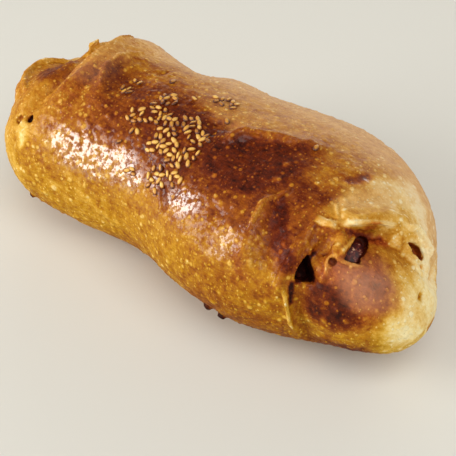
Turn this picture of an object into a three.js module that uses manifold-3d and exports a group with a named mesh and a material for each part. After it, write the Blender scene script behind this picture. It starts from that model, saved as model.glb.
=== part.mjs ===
// A sausage pogaca: one long roll of egg-washed yeast dough, baked round a sausage filling.
// The outer sheet of dough ends in a rim near one end, where a tongue of dough is folded up under it.
// Three gaps between rim and tongue show the filling, and sesame seeds lie on the browned top.
// Millimetres, +Z up, X along the roll with the folded, open end at +X and the shown side at -Y.
import * as THREE from "three";
import { mergeVertices } from "three/addons/utils/BufferGeometryUtils.js";
import Module from "manifold-3d";

const wasm = await Module();
wasm.setup();

// ---- Driving dimensions -------------------------------------------------------------------
// A place on the crust is [mm along X, degrees round]: 0 is the front, 90 the top, 180 the back.

const LENGTH = 188; // end to end
const HALF_WIDTHS = [43.5, 47, 38.5, 35.5, 41.5, 45.5, 41.5, 31]; // at equal steps from the far end
const HEIGHTS = [58, 64.5, 61, 60, 58.5, 58.5, 57.5, 50];
const ASIDE = [-0.7, -0.2, -0.7, 0.8, 0.3, -0.2, -3.2, -14.7]; // each step's middle, towards the back
const WIDEST_AT = 0.46; // share of the height where the roll is widest
const BLUNTNESS = 2.95; // higher makes the ends blunter
const ROUNDNESS = { above: 0.95, below: 0.82 }; // 1 is an ellipse, less is squarer
const PRESSED = 1.5; // how much of the round underside the baking tray has made flat
const RESTS_UP_TO = [1, 7]; // heights between which the folds fade out towards the underside

const RINGS = 66; // rows of faces along the roll
const FACES_ROUND = 44;
const NEAR_END_DENSITY = 0.22; // crowds the rings towards the folded end
const TOP_DENSITY = 0.45; // crowds the faces towards the shown side
const DENSEST_ROUND = 75;

// Ridges stand proud of the crust and grooves are sunk in it, along a path with soft ends.
const RIDGES = [
  { name: "rim of the far end's fold", height: 3.2, width: 5,
    path: [[-75, 36], [-78, 52], [-80, 68], [-80, 80], [-77, 99]] },
  { name: "edge over the far seam", height: 1.8, width: 4,
    path: [[-56, 124], [-54, 108], [-52, 90], [-52, 72], [-57, 44]] },
  { name: "far fold", height: 1.6, width: 3.2,
    path: [[-36, 51], [-38, 60], [-40, 69], [-43, 77], [-43, 92], [-37, 103]] },
  { name: "crest", height: 1.4, width: 2.8,
    path: [[7, 68], [15, 79], [21, 86], [28, 90], [34, 92], [44, 95]] },
  { name: "fold beside the front valley", height: 1.5, width: 3,
    path: [[39, 66], [40, 51], [41, 38], [43, 12]] },
  { name: "soft swell of the front", height: 0.7, width: 4,
    path: [[35, 46], [35.5, 28], [36, 8]] },
  { name: "brow", height: 2.0, width: 3.4,
    path: [[59, 64], [65, 71], [69, 81], [72, 91], [76, 100], [81, 112]] },
  { name: "strip between two gaps", height: 1.7, width: 2.8,
    path: [[58, 59], [63, 56], [67, 52], [68.5, 47], [67, 40]] },
  { name: "arch on the tongue", height: 0.9, width: 1.5,
    path: [[66, 27], [65, 37], [65.6, 45], [69.5, 43]] },
];
const GROOVES = [
  { name: "far seam", depth: 3.0, width: 3.6,
    path: [[-66, 134], [-62, 112], [-59, 92], [-57.5, 74], [-58, 60], [-61, 46], [-66, 18]] },
  { name: "far wrinkle", depth: 0.9, width: 2.2,
    path: [[-62, 24], [-65, 12], [-67, 0]] },
  { name: "dent beside the crest", depth: 0.9, width: 2.2,
    path: [[2, 73], [8, 78], [14, 85]] },
  { name: "front valley", depth: 2.3, width: 4.4,
    path: [[42, 69], [46, 53], [47.5, 41], [49, 32], [53, 13]] },
  { name: "soft dip of the front", depth: 1.0, width: 4,
    path: [[28, 47], [29.5, 32], [31, 13]] },
  { name: "fold above the brow", depth: 0.9, width: 2.4,
    path: [[58, 69], [62, 79], [65, 90], [69, 100], [71, 110], [78, 130]] },
  { name: "crease at the brow's corner", depth: 1.0, width: 1.6,
    path: [[56, 74], [61, 67], [65, 60]] },
  { name: "seam behind the knob", depth: 2.0, width: 3,
    path: [[83, 103], [87.5, 118], [88.5, 134], [85, 154]] },
];
// Steps drop the surface on one side of the path, and it runs back to the crust's own level.
const STEPS = [
  { name: "rim of the outer sheet", drop: 2.6, width: 2, reach: 8,
    path: [[64, -46], [60.5, -12], [59, 6], [59, 20], [59.6, 43], [61.5, 68]] },
  { name: "edge of the brow", drop: 3.4, width: 2.4, reach: 8,
    path: [[63, 57], [68.5, 71], [71, 79], [74, 87], [77.5, 94], [87, 117]] },
  { name: "edge of the sheet over the far seam", drop: 2.4, width: 2.4, reach: 6,
    path: [[-60, 132], [-56, 110], [-54.5, 90], [-55, 72], [-57.5, 56], [-61, 40]] },
];
// Swells, and hollows where the height is below 0: how far each reaches along and round, in mm.
const SWELLS = [
  { name: "far hump", height: 2.6, at: [-49, 111], along: 21, round: 21 },
  { name: "flat under the far end's rim", height: -1.7, at: [-81, 38], along: 9, round: 9 },
  { name: "hollow of the far end's fold", height: -6.0, at: [-73, 102], along: 9, round: 20 },
  { name: "corner of the far fold", height: 3.4, at: [-62, 104], along: 5, round: 8 },
  { name: "dip behind the far hump", height: -2.2, at: [-28, 130], along: 16, round: 18 },
  { name: "hollow behind the far fold", height: -1.8, at: [-33, 82], along: 7, round: 11 },
  { name: "hollow under the crest", height: -1.2, at: [23, 72], along: 11, round: 8 },
  { name: "bump on the back", height: 1.8, at: [-11, 131], along: 9, round: 8 },
  { name: "shoulder behind the brow", height: 1.0, at: [76, 150], along: 8, round: 12 },
  { name: "swell of the tongue", height: 1.2, at: [78, 30], along: 9, round: 14 },
  { name: "dimple in the knob", height: -0.9, at: [90, 88], along: 1.8, round: 1.8 },
];
const FADING = 0.26; // share of a fold's length over which it rises at either end
const REACHED = 3; // widths past which a fold isn't felt
const PATH_POINTS = 28;

// The gaps that show the filling: each one's outline on the crust, and how deep the filling lies.
const GAP_RISE = 6; // how far a gap's cutter stands out of the crust
const GAP_PAST = 1.5; // how far it runs on into the filling's room
const GAP_TAPER = 0.82; // a gap's size at its bottom, as a share of its size at the crust
const CURVE_POINTS = 3; // for each corner of an outline
const GAPS = [
  { name: "left", deep: 6.5, chunk: 8.5,
    outline: [[59.2, 19], [58.8, 30], [59.4, 41.5], [61.6, 38], [65.2, 29], [64.4, 24]] },
  { name: "middle", deep: 4.8, chunk: 8,
    outline: [[69, 69], [71.6, 68.5], [74, 63], [74.2, 51], [70.8, 49], [68.4, 45.5], [69, 55]] },
  { name: "right", deep: 5, chunk: 6,
    outline: [[78.6, 93], [81.4, 94.5], [85, 104.5], [85.4, 111], [82.4, 107], [80.2, 100.5]] },
  { name: "far spot", deep: 2.6, chunk: 10,
    outline: [[-61.6, 34], [-60.2, 37], [-58.8, 34], [-60.2, 31]] },
];

// The filling: a sausage that runs through the roll, with chunks that reach up to the gaps.
const CLEARANCE = 0.3; // between filling and dough
const FILLING = { from: -74, to: 74, radius: 15.5, aside: -7.2, height: 28, blunt: 3.2 };
const FILLING_FACES = { rings: 12, sides: 14 };
const CHUNK_FACES = { rings: 7, sides: 10 };

// Sesame seeds: how many lie in each patch, and how far the patch reaches along and round, in mm.
const SEED = { length: 3.2, width: 2.0, thickness: 1.1, taper: 0.3, sunk: 0.2, apart: 1.9 };
const SEED_FACES = { rings: 3, sides: 5 };
const SEED_LIES = 0.41; // how far its faceted underside lies below its middle, in thicknesses
const SEED_PATCHES = [
  { count: 13, at: [-15, 80], along: 8, round: 5 },
  { count: 20, at: [-7, 66], along: 10, round: 8 },
  { count: 18, at: [4, 68], along: 8, round: 8 },
  { count: 18, at: [1, 46], along: 10, round: 7 },
  { count: 6, at: [-24, 60], along: 6, round: 10 },
  { count: 3, at: [-29, 78], along: 4, round: 6 },
  { count: 7, at: [5, 93], along: 8, round: 3 },
  { count: 2, at: [-26, 92], along: 6, round: 4 },
  { count: 1, at: [9.5, 82], along: 0.5, round: 0.5 },
  { count: 1, at: [39.7, 91], along: 0.5, round: 0.5 },
];
const BODY_RADIUS = 38; // turns mm round the roll into degrees
const THROWS = 60; // for each seed that is kept
const RANDOM = { first: 20241, factor: 48271, modulus: 2147483647 };

const CRUST = new THREE.MeshStandardMaterial({ color: 0xb0702c, roughness: 0.4, metalness: 0 });
const SAUSAGE = new THREE.MeshStandardMaterial({ color: 0x54180f, roughness: 0.3, metalness: 0 });

// ---- The smooth roll ----------------------------------------------------------------------

const radians = THREE.MathUtils.degToRad;
const { clamp, smoothstep } = THREE.MathUtils;
const NEARBY = { along: 0.3, round: 1 }; // steps by which a slope is found
const POLE = 0.4; // within this of either end, outwards is straight along X

/** A smooth curve through equally spaced values; share runs from 0 to 1. */
function through(values, share) {
  const place = clamp(share, 0, 1) * (values.length - 1);
  const i = Math.min(Math.floor(place), values.length - 2);
  const f = place - i;
  const [a, b, c, d] = [-1, 0, 1, 2].map((k) => values[clamp(i + k, 0, values.length - 1)]);
  return b + 0.5 * f * (c - a + f * (2 * a - 5 * b + 4 * c - d + f * (3 * (b - c) + d - a)));
}

const squarish = (value, power) => Math.sign(value) * Math.abs(value) ** power;

/** The point of the smooth roll at a place, before folds, gaps and seeds. */
function skin(along, round) {
  const t = clamp((2 * along) / LENGTH, -1, 1);
  const share = (t + 1) / 2;
  const closing = Math.sqrt(1 - Math.abs(t) ** BLUNTNESS);
  const height = through(HEIGHTS, share);
  const middle = height * WIDEST_AT;
  const up = Math.sin(radians(round));
  const power = up < 0 ? ROUNDNESS.below : ROUNDNESS.above;
  const outwards = -squarish(Math.cos(radians(round)), power) * closing;
  const reach = up < 0 ? middle + PRESSED : height - middle;
  return new THREE.Vector3(
    along,
    through(ASIDE, share) + outwards * through(HALF_WIDTHS, share),
    Math.max(0, middle + reach * closing * squarish(up, power)),
  );
}

/** The direction along the roll on a surface function at a place. */
function lengthwiseOf(surface, along, round) {
  return surface(along + NEARBY.along, round).sub(surface(along - NEARBY.along, round)).normalize();
}

/** The outward direction of a surface function at a place. */
function outwardOf(surface, along, round) {
  if (Math.abs(along) > LENGTH / 2 - POLE) return new THREE.Vector3(Math.sign(along), 0, 0);
  const ahead = surface(along, round + NEARBY.round);
  const roundwise = ahead.sub(surface(along, round - NEARBY.round));
  return lengthwiseOf(surface, along, round).cross(roundwise).normalize();
}

// ---- Folds --------------------------------------------------------------------------------

const ALL_PATHS = [
  ...RIDGES,
  ...GROOVES.map((fold) => ({ ...fold, height: -fold.depth })),
  ...STEPS,
].map((fold) => {
  const corners = fold.path.map(([along, round]) => skin(along, round));
  return { ...fold, points: new THREE.CatmullRomCurve3(corners).getSpacedPoints(PATH_POINTS) };
});
const ALL_SWELLS = SWELLS.map((swell) => {
  const lengthwise = lengthwiseOf(skin, ...swell.at);
  const roundwise = outwardOf(skin, ...swell.at).cross(lengthwise);
  return { ...swell, centre: skin(...swell.at), lengthwise, roundwise };
});

/** The nearest place on a path: its distance, its side and its share of the path's length. */
function nearest(point, out, points) {
  const best = { distance: Infinity, side: 0, share: 0 };
  const stretch = new THREE.Vector3();
  const offset = new THREE.Vector3();
  for (let i = 1; i < points.length; i++) {
    stretch.subVectors(points[i], points[i - 1]);
    offset.subVectors(point, points[i - 1]);
    const f = clamp(offset.dot(stretch) / stretch.lengthSq(), 0, 1);
    offset.addScaledVector(stretch, -f);
    if (offset.length() >= best.distance) continue;
    best.distance = offset.length();
    best.side = offset.dot(stretch.cross(out).normalize());
    best.share = (i - 1 + f) / (points.length - 1);
  }
  return best;
}

/** How far the folds lift the crust off the smooth roll at a point. */
function relief(point, out) {
  let lift = 0;
  for (const { points, height, width, drop, reach } of ALL_PATHS) {
    const { distance, side, share } = nearest(point, out, points);
    if (distance > REACHED * (reach ?? width)) continue;
    const rise = smoothstep(share, 0, FADING) * smoothstep(1 - share, 0, FADING);
    if (!drop) {
      lift += height * rise * Math.exp(-((distance / width) ** 2));
    } else if (side > 0) {
      lift -= drop * rise * smoothstep(side, 0, width) * Math.exp(-((distance / reach) ** 2));
    }
  }
  for (const swell of ALL_SWELLS) {
    const offset = point.clone().sub(swell.centre);
    const along = offset.dot(swell.lengthwise) / swell.along;
    const round = offset.dot(swell.roundwise) / swell.round;
    const below = offset.length() / (swell.along + swell.round);
    lift += swell.height * Math.exp(-(along ** 2) - round ** 2 - below ** 4);
  }
  return lift * smoothstep(point.z, ...RESTS_UP_TO);
}

/** The point of the baked crust at a place. */
function crust(along, round) {
  const point = skin(along, round);
  const out = outwardOf(skin, along, round);
  point.addScaledVector(out, relief(point, out));
  point.z = Math.max(0, point.z);
  return point;
}

// ---- Solids -------------------------------------------------------------------------------

/** A closed geometry as a solid that can be joined and cut. */
function solidOf(geometry) {
  const bare = geometry.clone().deleteAttribute("normal").deleteAttribute("uv");
  const merged = mergeVertices(bare, 1e-4);
  return new wasm.Manifold(
    new wasm.Mesh({
      numProp: 3,
      vertProperties: merged.attributes.position.array,
      triVerts: new Uint32Array(merged.index.array),
    }),
  );
}

/** A named mesh made from a solid. */
function meshOf(name, solid, material) {
  const { vertProperties, triVerts } = solid.getMesh();
  const geometry = new THREE.BufferGeometry();
  geometry.setAttribute("position", new THREE.BufferAttribute(vertProperties, 3));
  geometry.setIndex(new THREE.BufferAttribute(triVerts, 1));
  geometry.computeVertexNormals();
  const mesh = new THREE.Mesh(geometry, material);
  mesh.name = name;
  return mesh;
}

/** Moves a ball's vertices to where place() puts its share of the way along and round. */
function reshapedBall(sides, rings, place) {
  const ball = new THREE.SphereGeometry(1, sides, rings);
  const { position, uv } = ball.attributes;
  for (let i = 0; i < position.count; i++) {
    const point = place(uv.getY(i), 360 * (1 - uv.getX(i)));
    position.setXYZ(i, point.x, point.y, point.z);
  }
  return ball;
}

/** The whole roll with its folds, as a ball drawn out along X. */
function roll() {
  return reshapedBall(FACES_ROUND, RINGS, (share, turn) => {
    const even = 2 * share - 1;
    const crowded = even + NEAR_END_DENSITY * (1 - even ** 2);
    const along = (LENGTH / 2) * Math.sin((Math.PI / 2) * crowded);
    const waver = Math.sin(radians(turn - DENSEST_ROUND));
    return crust(along, turn - THREE.MathUtils.radToDeg(TOP_DENSITY) * waver);
  });
}

/** A gap's cutter, and the point and direction it is cut along. */
function gapCutter({ outline, deep }) {
  const corners = outline.map(([along, round]) => skin(along, round));
  const total = corners.reduce((sum, corner) => sum.add(corner), new THREE.Vector3());
  const centre = total.divideScalar(corners.length);
  const middle = [0, 1].map((k) => outline.reduce((sum, place) => sum + place[k], 0) / outline.length);
  const out = outwardOf(skin, ...middle);
  const right = new THREE.Vector3(0, 0, 1).cross(out).normalize();
  const frame = new THREE.Matrix4().makeBasis(right, out.clone().cross(right), out).setPosition(centre);
  const toFrame = frame.clone().invert();
  const flat = corners.map((corner) => corner.clone().applyMatrix4(toFrame));
  const curve = new THREE.CatmullRomCurve3(flat, true);
  const points = curve.getPoints(CURVE_POINTS * flat.length).slice(0, -1);
  const shape = new THREE.Shape(points.map((p) => new THREE.Vector2(p.x, p.y)));
  const depth = GAP_RISE + deep + GAP_PAST;
  const cutter = new THREE.ExtrudeGeometry(shape, { depth, bevelEnabled: false, steps: 1 });
  const { position } = cutter.attributes;
  for (let i = 0; i < position.count; i++) {
    const share = position.getZ(i) / depth;
    const size = THREE.MathUtils.lerp(GAP_TAPER, 1, share);
    position.setX(i, position.getX(i) * size);
    position.setY(i, position.getY(i) * size);
    position.setZ(i, position.getZ(i) + GAP_RISE - depth);
  }
  return { cutter: cutter.applyMatrix4(frame), centre, out };
}

const GAP_CUTTERS = GAPS.map((gap) => ({ ...gap, ...gapCutter(gap) }));

/** The filling, grown all round by a margin. */
function fillingSolid(margin) {
  const { from, to, radius, aside, height, blunt } = FILLING;
  const log = reshapedBall(FILLING_FACES.sides, FILLING_FACES.rings, (share, turn) => {
    const t = Math.sin((Math.PI / 2) * (2 * share - 1));
    const along = (from + to) / 2 + t * ((to - from) / 2 + margin);
    const size = (radius + margin) * Math.sqrt(Math.max(0, 1 - Math.abs(t) ** blunt));
    const angle = radians(turn);
    return new THREE.Vector3(along, aside - size * Math.cos(angle), height + size * Math.sin(angle));
  });
  let solid = solidOf(log);
  for (const { centre, out, deep, chunk } of GAP_CUTTERS) {
    const ball = new THREE.SphereGeometry(chunk + margin, CHUNK_FACES.sides, CHUNK_FACES.rings);
    const place = centre.clone().addScaledVector(out, -deep - chunk);
    solid = solid.add(solidOf(ball.translate(place.x, place.y, place.z)));
  }
  return solid;
}

// ---- Sesame seeds -------------------------------------------------------------------------

let randomState = RANDOM.first;

/** The next number of a seeded row of random ones, between 0 and 1. */
function random() {
  randomState = (randomState * RANDOM.factor) % RANDOM.modulus;
  return randomState / RANDOM.modulus;
}

/** One seed, lying flat on the crust at a place and pointing along a heading. */
function seedAt(place, heading) {
  const seed = new THREE.SphereGeometry(0.5, SEED_FACES.sides, SEED_FACES.rings);
  const { position } = seed.attributes;
  for (let i = 0; i < position.count; i++) {
    const narrowing = 1 - SEED.taper * 2 * position.getY(i);
    position.setX(i, position.getX(i) * narrowing);
  }
  const out = outwardOf(crust, ...place);
  const ahead = new THREE.Vector3(1, 0, 0).applyAxisAngle(out, heading);
  const right = ahead.cross(out).normalize();
  const frame = new THREE.Matrix4().makeBasis(right, out.clone().cross(right), out);
  const centre = crust(...place).addScaledVector(out, SEED_LIES * SEED.thickness - SEED.sunk);
  frame.setPosition(centre);
  return seed.scale(SEED.width, SEED.length, SEED.thickness).applyMatrix4(frame);
}

/** Seeds thrown over each patch, none too near another. */
function allSeeds() {
  const seeds = [];
  const taken = [];
  for (const { count, at, along, round } of SEED_PATCHES) {
    for (let thrown = 0, kept = 0; kept < count && thrown < THROWS * count; thrown++) {
      const distance = Math.sqrt(random());
      const bearing = 2 * Math.PI * random();
      const heading = Math.PI * random();
      const place = [
        at[0] + along * distance * Math.cos(bearing),
        at[1] + (round * distance * Math.sin(bearing)) / (BODY_RADIUS * radians(1)),
      ];
      const point = skin(...place);
      if (taken.some((other) => other.distanceTo(point) < SEED.apart)) continue;
      taken.push(point);
      seeds.push(seedAt(place, heading));
      kept++;
    }
  }
  return seeds;
}

// ---- The part -----------------------------------------------------------------------------

let dough = solidOf(roll()).subtract(fillingSolid(CLEARANCE));
for (const { cutter } of GAP_CUTTERS) dough = dough.subtract(solidOf(cutter));
for (const seed of allSeeds()) dough = dough.add(solidOf(seed));

const pogaca = new THREE.Group();
pogaca.add(meshOf("dough", dough, CRUST));
pogaca.add(meshOf("filling", fillingSolid(0), SAUSAGE));

export default pogaca;
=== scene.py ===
# A sausage pogaca: an egg-washed roll of yeast dough, baked round a sausage, with sesame on top.
# The pieces follow in the order in which the roll is made: dough, sausage, seeds, then the studio.
import math

import bpy
import numpy as np
from mathutils import Matrix, Vector, noise
from mathutils.bvhtree import BVHTree


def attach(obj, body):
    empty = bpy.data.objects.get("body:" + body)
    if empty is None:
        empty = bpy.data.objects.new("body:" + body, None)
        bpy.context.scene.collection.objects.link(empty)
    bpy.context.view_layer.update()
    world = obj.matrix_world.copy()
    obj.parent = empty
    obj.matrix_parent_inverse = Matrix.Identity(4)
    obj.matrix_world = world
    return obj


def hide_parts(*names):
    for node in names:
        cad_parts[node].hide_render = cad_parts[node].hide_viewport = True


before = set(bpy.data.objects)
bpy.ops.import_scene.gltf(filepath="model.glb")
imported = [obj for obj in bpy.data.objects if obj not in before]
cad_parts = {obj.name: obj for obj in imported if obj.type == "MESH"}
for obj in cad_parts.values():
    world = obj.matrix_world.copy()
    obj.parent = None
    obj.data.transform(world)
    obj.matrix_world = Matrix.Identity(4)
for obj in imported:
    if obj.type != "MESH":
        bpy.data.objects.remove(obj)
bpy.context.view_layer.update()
bpy.ops.object.select_all(action="DESELECT")

# ---- The baked roll -----------------------------------------------------------------------
# One sheet of yeast dough rolled round a sausage: plump, a little waisted, its far end folded up
# over itself, and its near end closed by a tongue of dough tucked under the sheet's rim.
# Sizes are in mm, and a place on the crust is (mm along X, degrees round from the front).

MM = 0.001
LENGTH = 188.0
HALF_WIDTHS = [43.5, 47, 38.5, 35.5, 41.5, 45.5, 41.5, 31]
HEIGHTS = [58, 64.5, 61, 60, 58.5, 58.5, 57.5, 50]
ASIDE = [-0.7, -0.2, -0.7, 0.8, 0.3, -0.2, -3.2, -14.7]
WIDEST_AT = 0.46
BLUNTNESS = 2.95
ROUNDNESS_ABOVE = 0.95
ROUNDNESS_BELOW = 0.82
PRESSED = 1.5
# Directions are taken over a short way to each side, and not at the very tips, where the roll closes.
NUDGE = 0.3
TIP = 0.4
SHORT_OF_TIPS = 0.5


def through(values, share):
    """A smooth curve through equally spaced values."""
    values = np.asarray(values, float)
    place = np.clip(share, 0, 1) * (len(values) - 1)
    i = np.minimum(np.floor(place).astype(int), len(values) - 2)
    f = place - i
    a, b, c, d = (values[np.clip(i + k, 0, len(values) - 1)] for k in (-1, 0, 1, 2))
    return b + 0.5 * f * (c - a + f * (2 * a - 5 * b + 4 * c - d + f * (3 * (b - c) + d - a)))


def station(along):
    """The roll's section at each place along it: closing, half width, height, middle, aside."""
    t = np.clip(2 * along / LENGTH, -1, 1)
    share = (t + 1) / 2
    closing = np.sqrt(1 - np.abs(t) ** BLUNTNESS)
    height = through(HEIGHTS, share)
    return closing, through(HALF_WIDTHS, share), height, height * WIDEST_AT, through(ASIDE, share)


def skin(along, turn):
    """Points of the smooth roll at places on the crust."""
    along, turn = np.broadcast_arrays(np.asarray(along, float), np.asarray(turn, float))
    closing, half_width, height, middle, aside = station(along)
    ahead, up = np.cos(np.radians(turn)), np.sin(np.radians(turn))
    power = np.where(up < 0, ROUNDNESS_BELOW, ROUNDNESS_ABOVE)
    outwards = -np.sign(ahead) * np.abs(ahead) ** power * closing
    upwards = np.sign(up) * np.abs(up) ** power * closing
    reach = np.where(up < 0, middle + PRESSED, height - middle)
    high = np.maximum(0, middle + reach * upwards)
    return np.stack([along, aside + outwards * half_width, high], -1)


def place_of(points):
    """The place on the crust, in mm along and degrees round, that is nearest to each point."""
    along = points[:, 0]
    last = LENGTH / 2 - SHORT_OF_TIPS
    closing, half_width, height, middle, aside = station(np.clip(along, -last, last))
    out = -(points[:, 1] - aside) / (half_width * closing)
    up = points[:, 2] - middle
    up = up / (np.where(up < 0, middle + PRESSED, height - middle) * closing)
    power = 1 / np.where(up < 0, ROUNDNESS_BELOW, ROUNDNESS_ABOVE)
    ahead = np.sign(out) * np.abs(out) ** power
    return along, np.degrees(np.arctan2(np.sign(up) * np.abs(up) ** power, ahead))


def unit(vectors):
    """Vectors drawn to a length of 1."""
    return vectors / (np.linalg.norm(vectors, axis=-1, keepdims=True) + 1e-12)


def outward(along, turn):
    """Directions out of the smooth roll. At its very tips they point along it."""
    along, turn = np.broadcast_arrays(np.asarray(along, float), np.asarray(turn, float))
    last = LENGTH / 2 - TIP
    inside = np.clip(along, -last, last)
    lengthwise = skin(inside + NUDGE, turn) - skin(inside - NUDGE, turn)
    roundwise = skin(inside, turn + 1) - skin(inside, turn - 1)
    out = unit(np.cross(lengthwise, roundwise))
    out[np.abs(along) > last] = (1, 0, 0)
    out[..., 0] *= np.where(along < -last, -1, 1)
    return out


# Ridges stand proud and grooves are sunk: (height, width, path of places).
RIDGES_AND_GROOVES = {
    "rim of the far end's fold": (3.2, 5, [(-75, 36), (-78, 52), (-80, 68), (-80, 80), (-77, 99)]),
    "edge over the far seam": (1.8, 4, [(-56, 124), (-54, 108), (-52, 90), (-52, 72), (-57, 44)]),
    "far fold": (1.6, 3.2, [(-36, 51), (-38, 60), (-40, 69), (-43, 77), (-43, 92), (-37, 103)]),
    "crest": (1.5, 2.8, [(10, 67), (14.5, 76), (18.5, 82), (24, 85.5), (31, 89), (38, 92), (46, 95)]),
    "fold beside the front valley": (1.5, 3, [(39, 66), (40, 51), (41, 38), (43, 12)]),
    "soft swell of the front": (0.7, 4, [(35, 46), (35.5, 28), (36, 8)]),
    "brow": (2.0, 3.4, [(59, 64), (65, 71), (69, 81), (72, 91), (76, 100), (81, 112)]),
    "strip between two gaps": (1.7, 2.8, [(58, 59), (63, 56), (67, 52), (68.5, 47), (67, 40)]),
    "arch on the tongue": (0.9, 1.5, [(66, 27), (65, 37), (65.6, 45), (69.5, 43)]),
    "far seam": (-3.0, 3.6, [
        (-66, 134), (-62, 112), (-59, 92), (-57.5, 74), (-58, 60), (-61, 46), (-66, 18)]),
    "far wrinkle": (-0.9, 2.2, [(-62, 24), (-65, 12), (-67, 0)]),
    "dent beside the crest": (-0.9, 2.2, [(2, 73), (8, 78), (14, 85)]),
    "front valley": (-2.3, 4.4, [(42, 69), (46, 53), (47.5, 41), (49, 32), (53, 13)]),
    "soft dip of the front": (-1.0, 4, [(28, 47), (29.5, 32), (31, 13)]),
    "fold above the brow": (-0.9, 2.4, [(58, 69), (62, 79), (65, 90), (69, 100), (71, 110), (78, 130)]),
    "crease at the brow's corner": (-1.0, 1.6, [(56, 74), (61, 67), (65, 60)]),
    "seam behind the knob": (-2.0, 3, [(83, 103), (87.5, 118), (88.5, 134), (85, 154)]),
}
# Steps drop the crust on one side of a path: (drop, width, reach, path).
STEPS = {
    "rim of the outer sheet": (2.6, 2, 8, [
        (64, -46), (60.5, -12), (59, 6), (59, 20), (59.6, 43), (61.5, 68)]),
    "edge of the brow": (3.4, 2.4, 8, [(63, 57), (68.5, 71), (71, 79), (74, 87), (77.5, 94), (87, 117)]),
    "edge of the sheet there": (2.4, 2.4, 6, [
        (-60, 132), (-56, 110), (-54.5, 90), (-55, 72), (-57.5, 56), (-61, 40)]),
}
# Swells and hollows: (height, place, reach along, reach round).
SWELLS = {
    "far hump": (2.6, (-49, 111), 21, 21),
    "flat under the far end's rim": (-1.7, (-81, 38), 9, 9),
    "hollow of the far end's fold": (-6.0, (-73, 102), 9, 20),
    "corner of the far fold": (3.4, (-62, 104), 5, 8),
    "dip behind the far hump": (-2.2, (-28, 130), 16, 18),
    "hollow behind the far fold": (-1.8, (-33, 82), 7, 11),
    "hollow under the crest": (-1.2, (23, 72), 11, 8),
    "bump on the back": (1.8, (-11, 131), 9, 8),
    "shoulder behind the brow": (1.0, (76, 150), 8, 12),
    "swell of the tongue": (1.2, (78, 30), 9, 14),
    "dimple in the knob": (-0.9, (90, 88), 1.8, 1.8),
}


def ramp(value, low, high):
    """Goes softly from 0 to 1 as a value goes from low to high."""
    t = np.clip((value - low) / (high - low), 0, 1)
    return t * t * (3 - 2 * t)


def fading(share, ends):
    """1 along a path's middle, going down to 0 over a share of its length at both ends."""
    return ramp(share, 0, ends) * ramp(1 - share, 0, ends)


SAMPLES = 400


def smooth_path(corners, steps=28):
    """Evenly spaced points on a smooth curve through corners."""
    corners = np.asarray(corners, float)
    ends = [2 * corners[0] - corners[1], 2 * corners[-1] - corners[-2]]
    fine = []
    for place in np.linspace(0, len(corners) - 1, SAMPLES, endpoint=False):
        i = int(place)
        f = place - i
        before = corners[i - 1] if i else ends[0]
        after = corners[i + 2] if i + 2 < len(corners) else ends[1]
        here, there = corners[i], corners[i + 1]
        gaps = [max(np.linalg.norm(b - a) ** 0.5, 1e-4)
                for a, b in ((before, here), (here, there), (there, after))]
        leaving = ((here - before) / gaps[0] - (there - before) / (gaps[0] + gaps[1])) * gaps[1]
        leaving = leaving + (there - here)
        arriving = ((after - there) / gaps[2] - (after - here) / (gaps[1] + gaps[2])) * gaps[1]
        arriving = arriving + (there - here)
        square = -3 * here + 3 * there - 2 * leaving - arriving
        cube = 2 * here - 2 * there + leaving + arriving
        fine.append(here + leaving * f + square * f * f + cube * f ** 3)
    fine = np.array(fine + [corners[-1]])
    run = np.r_[0, np.cumsum(np.linalg.norm(np.diff(fine, axis=0), axis=1))]
    even = np.linspace(0, run[-1], steps + 1)
    return np.stack([np.interp(even, run, column) for column in fine.T], -1)


def nearest_on(path, points, out):
    """Each point's distance from a path, its side of it, and its share of the path's length."""
    distance = np.full(len(points), 1e9)
    side = np.zeros(len(points))
    share = np.zeros(len(points))
    for i, (start, stretch) in enumerate(zip(path[:-1], np.diff(path, axis=0))):
        offset = points - start
        f = np.clip(offset @ stretch / (stretch @ stretch), 0, 1)
        offset = offset - f[:, None] * stretch
        length = np.linalg.norm(offset, axis=1)
        near = length < distance
        distance[near] = length[near]
        side[near] = (offset[near] * unit(np.cross(stretch, out[near]))).sum(1)
        share[near] = (i + f[near]) / (len(path) - 1)
    return distance, side, share


def close_to(points, path, reach):
    """Which points lie in a path's box, grown by a reach."""
    return np.where(((points > path.min(0) - reach) & (points < path.max(0) + reach)).all(1))[0]


def spot(points, place, along, turn):
    """How much each point belongs to an oval spot on the crust, from 0 to 1."""
    out = outward(*place)
    lengthwise = unit(skin(place[0] + NUDGE, place[1]) - skin(place[0] - NUDGE, place[1]))
    offset = points - skin(*place)
    near = (offset @ lengthwise / along) ** 2 + (offset @ np.cross(out, lengthwise) / turn) ** 2
    return np.exp(-near - (np.linalg.norm(offset, axis=1) / (along + turn)) ** 4)


# A fold fades out over a share of its path at both ends, is felt some widths away, and grows from
# nothing to its full size between two heights above the flat underside.
FOLD_ENDS = 0.26
FOLD_REACH = 3
UNDERSIDE = (1, 7)
fold_paths = {name: smooth_path(skin(*np.array(fold[-1], float).T))
              for name, fold in {**RIDGES_AND_GROOVES, **STEPS}.items()}


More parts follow.
